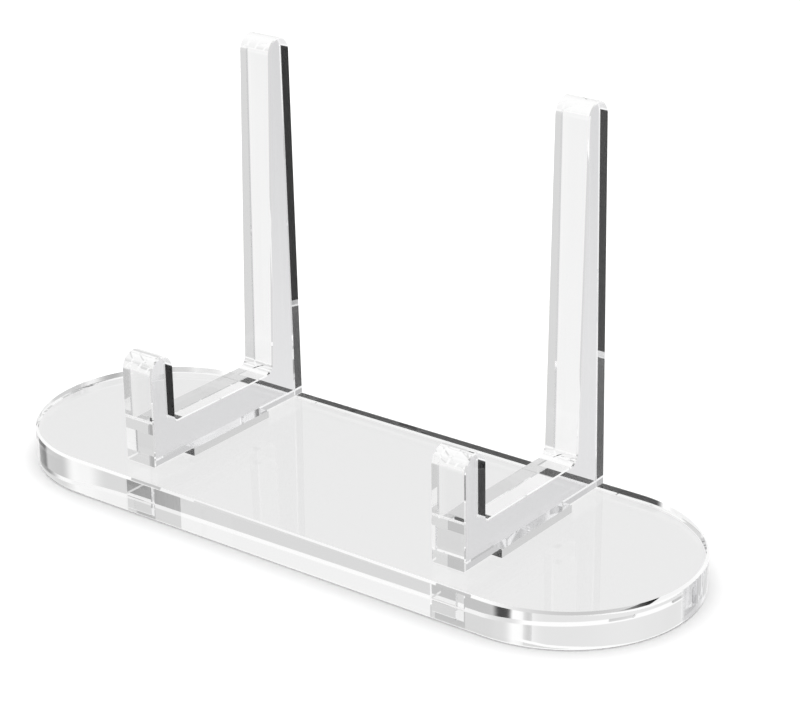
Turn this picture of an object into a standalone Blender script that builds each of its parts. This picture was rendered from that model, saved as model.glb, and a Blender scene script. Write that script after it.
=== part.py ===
"""Plate display stand in clear acrylic: a long base plate and two L-shaped brackets that plug into it.

Metres, +Z up. The origin is the middle of the base plate's underside. +X runs along the base, and -Y is
the front, where the lips stop the plate's rim. Every piece is cut from flat sheet and its edges are polished.
"""

import math

import bmesh
import bpy
from mathutils import Matrix, Vector

# Sheet stock
SHEET = 0.010  # thickness of the base and of the brackets
GAP = 0.0003  # play round a tenon in its mortise, and under a bracket's shoulders

# Base plate
BASE_LENGTH = 0.200
BASE_WIDTH = 0.069
BASE_CHAMFER = 0.0006  # polished chamfer along the upper and lower rim
END_STEPS = 48  # straight runs in each half-round end

# Where the brackets stand on the base
BRACKET_SPACING = 0.099  # between the middles of the two brackets
BRACKET_DEPTH = 0.060  # from the front of the lip to the back of the post
BRACKET_CHAMFER = 0.0003  # polished chamfer along the rims of both faces
BRACKET_BACK_Y = BASE_WIDTH / 2 - BASE_CHAMFER  # level with the inner edge of the base's chamfer

# Bracket profile; heights are above the shoulders
BAR_HEIGHT = 0.0103
LIP_WIDTH = 0.0085
LIP_HEIGHT = 0.0295
POST_FOOT_WIDTH = 0.0125
POST_TOP_WIDTH = 0.008
POST_HEIGHT = 0.102
POST_BACK_LEAN = 0.0014  # how far the back of the post comes forward on its way up
LIP_CORNER_RADIUS = 0.001
POST_CORNER_RADIUS = 0.003
CORNER_STEPS = 12  # straight runs in each rounded corner

# Tenon: the middle half of the bar, as deep as the base is thick
TENON_LENGTH = BRACKET_DEPTH / 2
TENON_DEPTH = SHEET

# Finish
CLEAR_TINT = (0.93, 0.96, 0.96, 1.0)
POLISHED_ROUGHNESS = 0.02
ACRYLIC_IOR = 1.49

WELD_DISTANCE = 0.00001
FLAT_ANGLE = math.radians(0.1)  # two faces closer than this to one plane are made one
SHARP_ANGLE = math.radians(20)


def clear_scene():
    for obj in list(bpy.data.objects):
        bpy.data.objects.remove(obj, do_unlink=True)


def new_collection(name):
    collection = bpy.data.collections.new(name)
    bpy.context.scene.collection.children.link(collection)
    return collection


def acrylic_material(name):
    material = bpy.data.materials.new(name)
    material.use_nodes = True
    shader = material.node_tree.nodes["Principled BSDF"]
    shader.inputs["Base Color"].default_value = CLEAR_TINT
    shader.inputs["Metallic"].default_value = 0.0
    shader.inputs["Roughness"].default_value = POLISHED_ROUGHNESS
    shader.inputs["IOR"].default_value = ACRYLIC_IOR
    shader.inputs["Transmission Weight"].default_value = 1.0
    return material


def base_outline():
    """A rectangle whose two short ends are full half-rounds."""
    radius = BASE_WIDTH / 2
    points = []
    for side in (1, -1):
        centre = Vector((side * (BASE_LENGTH / 2 - radius), 0.0))
        for step in range(END_STEPS + 1):
            angle = math.pi * (step / END_STEPS - side / 2)
            points.append(centre + radius * Vector((math.cos(angle), math.sin(angle))))
    return points


def bracket_outline():
    """The side profile: x from front to back and y upwards, from the middle of the shoulders."""
    front = -BRACKET_DEPTH / 2
    back = BRACKET_DEPTH / 2
    tenon = TENON_LENGTH / 2
    lip_back = front + LIP_WIDTH
    top_back = back - POST_BACK_LEAN
    top_front = top_back - POST_TOP_WIDTH
    corners = {
        "tenon front": Vector((-tenon, -TENON_DEPTH)),
        "tenon back": Vector((tenon, -TENON_DEPTH)),
        "shoulder back": Vector((tenon, 0.0)),
        "heel": Vector((back, 0.0)),
        "post top back": Vector((top_back, POST_HEIGHT)),
        "post top front": Vector((top_front, POST_HEIGHT)),
        "post foot": Vector((back - POST_FOOT_WIDTH, BAR_HEIGHT)),
        "lip foot": Vector((lip_back, BAR_HEIGHT)),
        "lip top back": Vector((lip_back, LIP_HEIGHT)),
        "lip top front": Vector((front, LIP_HEIGHT)),
        "toe": Vector((front, 0.0)),
        "shoulder front": Vector((-tenon, 0.0)),
    }
    post_radius = half_round_radius(
        corners["heel"],
        corners["post top back"],
        corners["post top front"],
        corners["post foot"],
    )
    radii = {
        "post top back": post_radius,
        "post top front": post_radius,
        "post foot": POST_CORNER_RADIUS,
        "lip foot": LIP_CORNER_RADIUS,
        "lip top back": LIP_WIDTH / 2,
        "lip top front": LIP_WIDTH / 2,
    }
    names = list(corners)
    points = []
    for i, name in enumerate(names):
        before = corners[names[i - 1]]
        after = corners[names[(i + 1) % len(names)]]
        if name in radii:
            points += rounded_corner(before, corners[name], after, radii[name])
        else:
            points.append(corners[name])
    return points


def half_round_radius(before, first, second, after):
    """The radius that turns two neighbouring corners into one continuous rounded end."""
    end = second - first
    first_half = (before - first).angle(end) / 2
    second_half = (after - second).angle(-end) / 2
    return end.length / (1 / math.tan(first_half) + 1 / math.tan(second_half))


def rounded_corner(before, corner, after, radius):
    """The points of the arc that rounds a corner between two straight edges."""
    to_before = (before - corner).normalized()
    to_after = (after - corner).normalized()
    half = to_before.angle(to_after) / 2
    centre = corner + (to_before + to_after).normalized() * (radius / math.sin(half))
    start = corner + to_before * (radius / math.tan(half)) - centre
    end = corner + to_after * (radius / math.tan(half)) - centre
    sweep = -start.angle_signed(end)
    turns = [Matrix.Rotation(sweep * step / CORNER_STEPS, 2) for step in range(CORNER_STEPS + 1)]
    return [centre + turn @ start for turn in turns]


def sheet_mesh(name, points, chamfer):
    """A sheet cut to an outline in its own XY plane, half its thickness above it and half below."""
    curve = bpy.data.curves.new(name, "CURVE")
    curve.dimensions = "2D"
    curve.fill_mode = "BOTH"
    curve.extrude = SHEET / 2
    spline = curve.splines.new("POLY")
    spline.points.add(len(points) - 1)
    for spline_point, point in zip(spline.points, points):
        spline_point.co = (point.x, point.y, 0.0, 1.0)
    spline.use_cyclic_u = True
    outline = bpy.data.objects.new(name, curve)
    bpy.context.scene.collection.objects.link(outline)
    evaluated = outline.evaluated_get(bpy.context.evaluated_depsgraph_get())
    mesh = bpy.data.meshes.new_from_object(evaluated)
    bpy.data.objects.remove(outline)
    bpy.data.curves.remove(curve)
    mesh.name = name
    polish_rims(mesh, chamfer)
    return mesh


def polish_rims(mesh, chamfer):
    """Weld the two faces of a sheet to its edge, and chamfer the rims where they meet."""
    edit = bmesh.new()
    edit.from_mesh(mesh)
    bmesh.ops.remove_doubles(edit, verts=edit.verts, dist=WELD_DISTANCE)
    inner_edges = [edge for edge in edit.edges if all(is_sheet_face(f) for f in edge.link_faces)]
    bmesh.ops.dissolve_limit(edit, angle_limit=FLAT_ANGLE, verts=[], edges=inner_edges)
    rims = [edge for edge in edit.edges if any(is_sheet_face(f) for f in edge.link_faces)]
    bmesh.ops.bevel(edit, geom=rims, offset=chamfer, segments=1, affect="EDGES")
    bmesh.ops.recalc_face_normals(edit, faces=edit.faces)
    edit.to_mesh(mesh)
    edit.free()
    mesh.shade_smooth()
    mesh.set_sharp_from_angle(angle=SHARP_ANGLE)


def is_sheet_face(face):
    return abs(face.normal.z) > 0.9


def add_piece(name, mesh, material, collection, stand, location, rotation):
    piece = bpy.data.objects.new(name, mesh)
    collection.objects.link(piece)
    piece.parent = stand
    piece.location = location
    piece.rotation_euler = rotation
    if not mesh.materials:
        mesh.materials.append(material)
    return piece


def cut_mortise(base, name, centre, cutters):
    """A through hole in the base that takes one tenon with GAP all round."""
    bpy.ops.mesh.primitive_cube_add(size=1.0, location=(centre.x, centre.y, SHEET / 2))
    cutter = bpy.context.object
    cutter.name = name
    cutter.dimensions = (SHEET + 2 * GAP, TENON_LENGTH + 2 * GAP, 2 * SHEET)
    bpy.ops.object.transform_apply(location=False, rotation=False, scale=True)
    for collection in cutter.users_collection:
        collection.objects.unlink(cutter)
    cutters.objects.link(cutter)
    cutter.hide_render = True
    cutter.display_type = "WIRE"
    cut = base.modifiers.new(name, "BOOLEAN")
    cut.operation = "DIFFERENCE"
    cut.solver = "EXACT"
    cut.object = cutter


def build():
    clear_scene()
    parts = new_collection("plate_display_stand")
    cutters = new_collection("cutters")
    stand = bpy.data.objects.new("stand_frame", None)
    parts.objects.link(stand)

    base = add_piece(
        "base_plate",
        sheet_mesh("base_plate", base_outline(), BASE_CHAMFER),
        acrylic_material("base_acrylic"),
        parts,
        stand,
        location=(0.0, 0.0, SHEET / 2),
        rotation=(0.0, 0.0, 0.0),
    )
    bracket_mesh = sheet_mesh("bracket", bracket_outline(), BRACKET_CHAMFER)
    bracket_acrylic = acrylic_material("bracket_acrylic")
    middle_y = BRACKET_BACK_Y - BRACKET_DEPTH / 2
    for name, side in (("left", -1), ("right", 1)):
        seat = Vector((side * BRACKET_SPACING / 2, middle_y, SHEET + GAP))
        # Quarter turns about X and Z stand the profile up: its x becomes +Y and its y becomes +Z.
        add_piece(
            f"{name}_bracket",
            bracket_mesh,
            bracket_acrylic,
            parts,
            stand,
            location=seat,
            rotation=(math.pi / 2, 0.0, math.pi / 2),
        )
        cut_mortise(base, f"{name}_mortise", seat, cutters)


build()
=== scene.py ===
"""Looks of the plate display stand: clear acrylic pieces, a pale floor, soft light and a camera.

Metres, +Z up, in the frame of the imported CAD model: the origin is the middle of the base's underside,
+X runs along the base and -Y is the front.
"""

import math

import bmesh
import bpy
from mathutils import Matrix, Vector


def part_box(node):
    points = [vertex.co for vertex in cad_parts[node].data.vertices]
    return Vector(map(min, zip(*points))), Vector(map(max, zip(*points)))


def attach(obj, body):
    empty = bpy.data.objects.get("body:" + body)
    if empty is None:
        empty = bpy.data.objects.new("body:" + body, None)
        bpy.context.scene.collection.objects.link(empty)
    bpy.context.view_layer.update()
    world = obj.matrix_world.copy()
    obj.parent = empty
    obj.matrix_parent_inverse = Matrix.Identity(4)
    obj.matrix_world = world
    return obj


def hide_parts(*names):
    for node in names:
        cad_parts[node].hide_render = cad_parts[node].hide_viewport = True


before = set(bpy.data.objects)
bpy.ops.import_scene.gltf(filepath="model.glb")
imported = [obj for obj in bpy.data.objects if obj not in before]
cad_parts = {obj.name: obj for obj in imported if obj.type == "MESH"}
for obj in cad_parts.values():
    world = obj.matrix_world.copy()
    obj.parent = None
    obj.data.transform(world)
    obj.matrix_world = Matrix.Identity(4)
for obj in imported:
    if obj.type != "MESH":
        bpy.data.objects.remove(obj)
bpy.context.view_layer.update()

MM = 0.001

# Base sheet
BASE_CHAMFER = 0.6 * MM
BASE_END_STEPS = 128

# Bracket profile; heights are above the shoulders
BAR_HEIGHT = 10.3 * MM
LIP_WIDTH = 8.5 * MM
LIP_HEIGHT = 29.5 * MM
POST_FOOT_WIDTH = 12.5 * MM
POST_TOP_WIDTH = 8.0 * MM
POST_BACK_LEAN = 1.4 * MM
LIP_CORNER_RADIUS = 1.0 * MM
POST_CORNER_RADIUS = 3.0 * MM
BRACKET_CHAMFER = 0.3 * MM
CORNER_STEPS = 32
TENON_SHARE = 0.5  # of the bracket's depth

# Fits
SEAT_GAP = 0.05 * MM  # air film under a bracket's shoulders
TENON_GAP = 0.15 * MM  # air film round a tenon
FLOOR_GAP = 0.1 * MM  # air film under the base

SHARP_ANGLE = math.radians(30)
SQUARE_COSINE = 0.9  # tells a sheet face from the wall round it

# Acrylic. The index is above the 1.49 of real acrylic: it sets how wide the strips along the edges look.
ACRYLIC_IOR = 2.2
GLOSS_TINT = (0.08, 0.08, 0.08)
EDGE_TINT = (1.0, 1.0, 1.0)
# Painted shade: the broad sheet faces are greyed so they read darker than the clear cut edges.
BASE_FACE_PAINTED_SHADE = (0.93, 0.93, 0.93)
BRACKET_FACE_PAINTED_SHADE = (0.85, 0.85, 0.86)
FACE_SQUARENESS = 0.95  # least cosine between a sheet face and its axis
SMUDGE_GRAIN = 12 * MM
SMUDGE_DETAIL = 3.0
SMUDGE_THRESHOLD = 0.5  # noise below this leaves the face clean
SMUDGE_ROUGHNESS = 0.15
RIPPLE_GRAIN = 3 * MM
RIPPLE_DETAIL = 1.0
RIPPLE_HEIGHT = 0.0015 * MM

# Floor
FLOOR_RADIUS = 6.0
FLOOR_STEPS = 96
FLOOR_COLOR = (0.95, 0.95, 0.95)
FLOOR_ROUGHNESS = 0.8

# Studio. Brightness 1 is pure white in the render.
STUDIO_LIGHT = 1.0
BACKDROP_LIGHT = 1.0  # what the camera sees behind the stand
FLOOR_LIGHT = 1.45  # what lights the floor
# Soft round flags: azimuth from +X towards +Y, elevation, radius and softness in degrees, and brightness.
# A later flag lies over an earlier one.
FLAGS = (
    (90.0, 0.0, 20.0, 8.0, 0.72),  # level with the stand, behind it
    (180.0, 0.0, 20.0, 8.0, 0.78),  # level, to its left
    (270.0, 0.0, 20.0, 8.0, 0.6),  # level, in front
    (0.0, 0.0, 24.0, 6.0, 0.25),  # level, to its right
    (148.0, 0.0, 10.0, 3.0, 0.2),  # level, back left
    (127.6, -22.8, 26.0, 8.0, 0.92),  # straight through the stand
    (127.6, -10.0, 9.0, 5.0, 0.8),  # behind the tops of the posts
    (127.6, 22.8, 24.0, 8.0, 0.72),  # upper back left
    (52.4, -22.8, 20.0, 6.0, 0.7),  # lower back right
    (307.6, -22.8, 20.0, 6.0, 0.7),  # lower front right
    (52.4, 22.8, 18.0, 6.0, 0.55),  # upper back right
    (36.0, 24.0, 8.0, 3.0, 0.0),  # upper right, black
    (232.4, 22.8, 18.0, 6.0, 0.55),  # upper front left
    (232.4, -22.8, 20.0, 5.0, 1.3),  # lower front left: a bright ring
    (232.4, -22.8, 12.0, 4.0, 0.0),  # and its black middle, which darkens the edges
)

# Light paths
MOST_BOUNCES = 32
MOST_GLOSSY_BOUNCES = 16
MOST_DIFFUSE_BOUNCES = 3
# Light trapped in a piece for this many bounces counts as studio light.
TRAPPED_BOUNCES = 5
ESCAPE_DISTANCE = 0.1 * MM

# Camera
CAMERA_AZIMUTH = math.radians(37.64)
CAMERA_ELEVATION = math.radians(22.79)
CAMERA_ROLL = math.radians(-0.8)
CAMERA_DISTANCE = 611.35 * MM
CAMERA_TARGET = Vector((15.78, 0.0, 46.05)) * MM
CAMERA_LENS = 111.23  # millimetres, as is the sensor
CAMERA_SENSOR = 36.0
CAMERA_CLIP = (0.01, 50.0)


# ---------------------------------------------------------------- geometry


def half_round_radius(before, first, second, after):
    """The radius that turns two neighbouring corners into one continuous rounded end."""
    end = second - first
    first_half = (before - first).angle(end) / 2
    second_half = (after - second).angle(-end) / 2
    return end.length / (1 / math.tan(first_half) + 1 / math.tan(second_half))


def rounded_corner(before, corner, after, radius):
    """The points of the arc that rounds a corner between two straight edges."""
    to_before = (before - corner).normalized()
    to_after = (after - corner).normalized()
    half = to_before.angle(to_after) / 2
    centre = corner + (to_before + to_after).normalized() * (radius / math.sin(half))
    start = corner + to_before * (radius / math.tan(half)) - centre
    end = corner + to_after * (radius / math.tan(half)) - centre
    sweep = -start.angle_signed(end)
    turns = [Matrix.Rotation(sweep * step / CORNER_STEPS, 2) for step in range(CORNER_STEPS + 1)]
    return [centre + turn @ start for turn in turns]


def rounded_outline(corners):
    """A closed outline from (corner, radius) pairs; radius 0 keeps a corner sharp."""
    points = []
    for i, (corner, radius) in enumerate(corners):
        if radius:
            before = corners[i - 1][0]
            after = corners[(i + 1) % len(corners)][0]
            points += rounded_corner(before, corner, after, radius)
        else:
            points.append(corner)
    return points


def stadium_outline(length, width):
    """A rectangle whose two short ends are full half-rounds, about the origin."""
    radius = width / 2
    points = []
    for side in (1, -1):
        centre = Vector((side * (length / 2 - radius), 0.0))
        for step in range(BASE_END_STEPS + 1):
            angle = math.pi * (step / BASE_END_STEPS - side / 2)
            points.append(centre + radius * Vector((math.cos(angle), math.sin(angle))))
    return points


def bracket_outline(front, back, shoulder, top, tenon_foot, middle):
    """The bracket's side profile in the YZ plane, as (y, z) points."""
    tenon = TENON_SHARE * (back - front) / 2
    lip_back = front + LIP_WIDTH
    top_back = back - POST_BACK_LEAN
    top_front = top_back - POST_TOP_WIDTH
    bar_top = shoulder + BAR_HEIGHT
    lip_top = shoulder + LIP_HEIGHT
    heel = Vector((back, shoulder))
    post_top_back = Vector((top_back, top))
    post_top_front = Vector((top_front, top))
    post_foot = Vector((back - POST_FOOT_WIDTH, bar_top))
    post_radius = half_round_radius(heel, post_top_back, post_top_front, post_foot)
    return rounded_outline(
        [
            (Vector((middle - tenon, tenon_foot)), 0),
            (Vector((middle + tenon, tenon_foot)), 0),
            (Vector((middle + tenon, shoulder)), 0),
            (heel, 0),
            (post_top_back, post_radius),
            (post_top_front, post_radius),
            (post_foot, POST_CORNER_RADIUS),
            (Vector((lip_back, bar_top)), LIP_CORNER_RADIUS),
            (Vector((lip_back, lip_top)), LIP_WIDTH / 2),
            (Vector((front, lip_top)), LIP_WIDTH / 2),
            (Vector((front, shoulder)), 0),
            (Vector((middle - tenon, shoulder)), 0),
        ]
    )


def cut_sheet(name, outline, thickness, chamfer, place):
    """A sheet cut to an outline in its own XY plane, chamfered along both rims, and put in place."""
    edit = bmesh.new()
    lower = [edit.verts.new((p.x, p.y, -thickness / 2)) for p in outline]
    face = edit.faces.new(lower)
    raised = bmesh.ops.extrude_face_region(edit, geom=[face])["geom"]
    upper = [v for v in raised if isinstance(v, bmesh.types.BMVert)]
    bmesh.ops.translate(edit, verts=upper, vec=(0.0, 0.0, thickness))
    bmesh.ops.recalc_face_normals(edit, faces=edit.faces)
    rims = [e for e in edit.edges if any(abs(f.normal.z) > SQUARE_COSINE for f in e.link_faces)]
    bmesh.ops.bevel(edit, geom=rims, offset=chamfer, segments=1, affect="EDGES")
    bmesh.ops.recalc_face_normals(edit, faces=edit.faces)
    edit.transform(place)
    mesh = bpy.data.meshes.new(name)
    edit.to_mesh(mesh)
    edit.free()
    piece = bpy.data.objects.new(name, mesh)
    bpy.context.scene.collection.objects.link(piece)
    return piece


def cut_slot(piece, low, high):
    """Cuts a box-shaped slot with sharp corners out of a piece."""
    edit = bmesh.new()
    bmesh.ops.create_cube(edit, size=1.0)
    size = high - low
    edit.transform(Matrix.Translation((low + high) / 2) @ Matrix.Diagonal((*size, 1.0)))
    mesh = bpy.data.meshes.new("slot_cutter")
    edit.to_mesh(mesh)
    edit.free()
    cutter = bpy.data.objects.new("slot_cutter", mesh)
    bpy.context.scene.collection.objects.link(cutter)
    cut = piece.modifiers.new("slot", "BOOLEAN")
    cut.operation = "DIFFERENCE"
    cut.solver = "EXACT"
    cut.object = cutter
    evaluated = piece.evaluated_get(bpy.context.evaluated_depsgraph_get())
    piece.data = bpy.data.meshes.new_from_object(evaluated)
    piece.modifiers.clear()
    bpy.data.objects.remove(cutter)


def shade(piece, material):
    piece.data.shade_smooth()
    piece.data.set_sharp_from_angle(angle=SHARP_ANGLE)
    piece.data.materials.clear()
    piece.data.materials.append(material)


# ---------------------------------------------------------------- materials


def link_math(tree, operation, *values):
    """Adds a Math node; each value is a number or a socket."""
    node = tree.nodes.new("ShaderNodeMath")
    node.operation = operation
    for socket, value in zip(node.inputs, values):
        if isinstance(value, bpy.types.NodeSocket):
            tree.links.new(value, socket)
        else:
            socket.default_value = value
    return node.outputs[0]


def noise(tree, place, grain, detail):
    """Noise whose features are about as long as grain, in metres."""
    node = tree.nodes.new("ShaderNodeTexNoise")
    node.inputs["Scale"].default_value = 1 / grain
    node.inputs["Detail"].default_value = detail
    tree.links.new(place, node.inputs["Vector"])
    return node.outputs["Fac"]


def acrylic(name, face_axis, face_painted_shade):
    """Clear acrylic: sheet faces square to face_axis, greyed with painted shade and smudged; cut edges,
    rippled.
    """
    material = bpy.data.materials.new(name)
    material.use_nodes = True
    tree = material.node_tree
    shader = tree.nodes["Principled BSDF"]
    shader.inputs["IOR"].default_value = ACRYLIC_IOR
    shader.inputs["Transmission Weight"].default_value = 1.0
    shader.inputs["Specular Tint"].default_value = (*GLOSS_TINT, 1.0)

    coordinates = tree.nodes.new("ShaderNodeTexCoord")
    place = coordinates.outputs["Object"]
    normal = tree.nodes.new("ShaderNodeSeparateXYZ")
    tree.links.new(coordinates.outputs["Normal"], normal.inputs[0])
    squareness = link_math(tree, "ABSOLUTE", normal.outputs[face_axis])
    on_face = link_math(tree, "GREATER_THAN", squareness, FACE_SQUARENESS)

    # Painted shade: faces square to face_axis get the grey, the cut edges stay white.
    painted_shade = tree.nodes.new("ShaderNodeMix")
    painted_shade.data_type = "RGBA"
    painted_shade.inputs["A"].default_value = (*EDGE_TINT, 1.0)
    painted_shade.inputs["B"].default_value = (*face_painted_shade, 1.0)
    tree.links.new(on_face, painted_shade.inputs["Factor"])
    tree.links.new(painted_shade.outputs["Result"], shader.inputs["Base Color"])

    smudge = noise(tree, place, SMUDGE_GRAIN, SMUDGE_DETAIL)
    smudge = link_math(tree, "SUBTRACT", smudge, SMUDGE_THRESHOLD)
    smudge = link_math(tree, "MAXIMUM", smudge, 0.0)
    smudge = link_math(tree, "MULTIPLY", smudge, on_face)
    smudge = link_math(tree, "MULTIPLY", smudge, SMUDGE_ROUGHNESS)
    tree.links.new(smudge, shader.inputs["Roughness"])

    ripple = tree.nodes.new("ShaderNodeBump")
    ripple.inputs["Strength"].default_value = 1.0
    ripple.inputs["Distance"].default_value = RIPPLE_HEIGHT
    off_face = link_math(tree, "SUBTRACT", 1.0, on_face)
    height = link_math(tree, "MULTIPLY", noise(tree, place, RIPPLE_GRAIN, RIPPLE_DETAIL), off_face)
    tree.links.new(height, ripple.inputs["Height"])
    tree.links.new(ripple.outputs["Normal"], shader.inputs["Normal"])
    return material


def floor_material():
    material = bpy.data.materials.new("pale_floor")
    material.use_nodes = True
    shader = material.node_tree.nodes["Principled BSDF"]
    shader.inputs["Base Color"].default_value = (*FLOOR_COLOR, 1.0)
    shader.inputs["Roughness"].default_value = FLOOR_ROUGHNESS
    shader.inputs["Specular IOR Level"].default_value = 0.0
    return material


# ---------------------------------------------------------------- pieces


base_low, base_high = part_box("base_plate")
base = cut_sheet(
    "base_sheet",
    stadium_outline(base_high.x - base_low.x, base_high.y - base_low.y),
    base_high.z - base_low.z,
    BASE_CHAMFER,
    Matrix.Translation((base_low + base_high) / 2),
)
base_acrylic = acrylic("base_acrylic", "Z", BASE_FACE_PAINTED_SHADE)
bracket_acrylic = acrylic("bracket_acrylic", "X", BRACKET_FACE_PAINTED_SHADE)
for side in ("left", "right"):
    node = side + "_bracket"
    low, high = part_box(node)
    middle = (low + high) / 2
    outline = bracket_outline(
        front=low.y,
        back=high.y,
        shoulder=base_high.z + SEAT_GAP,
        top=high.z,
        tenon_foot=low.z,
        middle=middle.y,
    )
    # The outline's x and y become +Y and +Z, and the sheet's thickness lies along X.
    turn = Matrix(((0, 0, 1, middle.x), (1, 0, 0, 0), (0, 1, 0, 0), (0, 0, 0, 1)))
    bracket = cut_sheet(side + "_bracket_sheet", outline, high.x - low.x, BRACKET_CHAMFER, turn)
    shade(bracket, bracket_acrylic)
    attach(bracket, node)
    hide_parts(node)
    tenon = TENON_SHARE * (high.y - low.y) / 2
    reach = Vector((TENON_GAP, TENON_GAP, 0.0))
    slot_low = Vector((low.x, middle.y - tenon, base_low.z - MM)) - reach
    slot_high = Vector((high.x, middle.y + tenon, base_high.z + MM)) + reach
    cut_slot(base, slot_low, slot_high)
shade(base, base_acrylic)
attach(base, "base")
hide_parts("base_plate")


# ---------------------------------------------------------------- stage


def add_floor():
    """A pale disc that the acrylic neither shows through itself nor reflects."""
    mesh = bpy.data.meshes.new("floor")
    edit = bmesh.new()
    bmesh.ops.create_circle(edit, cap_ends=True, radius=FLOOR_RADIUS, segments=FLOOR_STEPS)
    edit.transform(Matrix.Translation((0.0, 0.0, base_low.z - FLOOR_GAP)))
    edit.to_mesh(mesh)
    edit.free()
    floor = bpy.data.objects.new("floor", mesh)
    bpy.context.scene.collection.objects.link(floor)
    floor.data.materials.append(floor_material())
    floor.visible_transmission = False
    floor.visible_glossy = False


def direction_of(azimuth, elevation):
    """The unit vector that points there; both angles are in degrees."""
    azimuth = math.radians(azimuth)
    elevation = math.radians(elevation)
    level = math.cos(elevation)
    return Vector((level * math.cos(azimuth), level * math.sin(azimuth), math.sin(elevation)))


def blended(tree, factor, level, brightness):
    """A socket that runs from the level socket's value to brightness as factor runs from 0 to 1."""
    blend = tree.nodes.new("ShaderNodeMix")
    tree.links.new(factor, blend.inputs["Factor"])
    tree.links.new(level, blend.inputs["A"])
    blend.inputs["B"].default_value = brightness
    return blend.outputs["Result"]


def add_world():
    """An even white surround with the soft flags in it."""
    world = bpy.data.worlds.new("studio")
    bpy.context.scene.world = world
    world.use_nodes = True
    nodes = world.node_tree.nodes
    links = world.node_tree.links
    background = nodes["Background"]
    background.inputs["Color"].default_value = (1.0, 1.0, 1.0, 1.0)
    place = nodes.new("ShaderNodeTexCoord")
    light = nodes.new("ShaderNodeValue")
    light.outputs[0].default_value = STUDIO_LIGHT
    level = light.outputs[0]
    for azimuth, elevation, radius, softness, brightness in FLAGS:
        near = nodes.new("ShaderNodeVectorMath")
        near.operation = "DOT_PRODUCT"
        near.inputs[1].default_value = direction_of(azimuth, elevation)
        links.new(place.outputs["Generated"], near.inputs[0])
        inside = nodes.new("ShaderNodeMapRange")
        inside.interpolation_type = "SMOOTHSTEP"
        inside.inputs["From Min"].default_value = math.cos(math.radians(radius + softness))
        inside.inputs["From Max"].default_value = math.cos(math.radians(radius - softness))
        links.new(near.outputs["Value"], inside.inputs["Value"])
        level = blended(world.node_tree, inside.outputs["Result"], level, brightness)
    path = nodes.new("ShaderNodeLightPath")
    for kind, brightness in (("Is Camera Ray", BACKDROP_LIGHT), ("Is Diffuse Ray", FLOOR_LIGHT)):
        level = blended(world.node_tree, path.outputs[kind], level, brightness)
    links.new(level, background.inputs["Strength"])
    world.light_settings.distance = ESCAPE_DISTANCE


def add_camera():
    back = Vector(
        (
            math.sin(CAMERA_AZIMUTH) * math.cos(CAMERA_ELEVATION),
            -math.cos(CAMERA_AZIMUTH) * math.cos(CAMERA_ELEVATION),
            math.sin(CAMERA_ELEVATION),
        )
    )
    right = Vector((0.0, 0.0, 1.0)).cross(back).normalized()
    up = back.cross(right)
    turn = Matrix((right, up, back)).transposed() @ Matrix.Rotation(CAMERA_ROLL, 3, "Z")
    data = bpy.data.cameras.new("camera")
    data.lens = CAMERA_LENS
    data.sensor_width = CAMERA_SENSOR
    data.clip_start, data.clip_end = CAMERA_CLIP
    camera = bpy.data.objects.new("camera", data)
    camera.matrix_world = Matrix.Translation(CAMERA_TARGET + back * CAMERA_DISTANCE) @ turn.to_4x4()
    bpy.context.scene.collection.objects.link(camera)
    bpy.context.scene.camera = camera


def set_light_paths():
    scene = bpy.context.scene
    scene.cycles.max_bounces = MOST_BOUNCES
    scene.cycles.transmission_bounces = MOST_BOUNCES
    scene.cycles.glossy_bounces = MOST_GLOSSY_BOUNCES
    scene.cycles.diffuse_bounces = MOST_DIFFUSE_BOUNCES
    scene.cycles.use_denoising = True
    scene.cycles.use_fast_gi = True
    scene.cycles.fast_gi_method = "REPLACE"
    scene.cycles.ao_bounces_render = TRAPPED_BOUNCES
    scene.view_settings.view_transform = "Standard"


add_floor()
add_world()
add_camera()
set_light_paths()
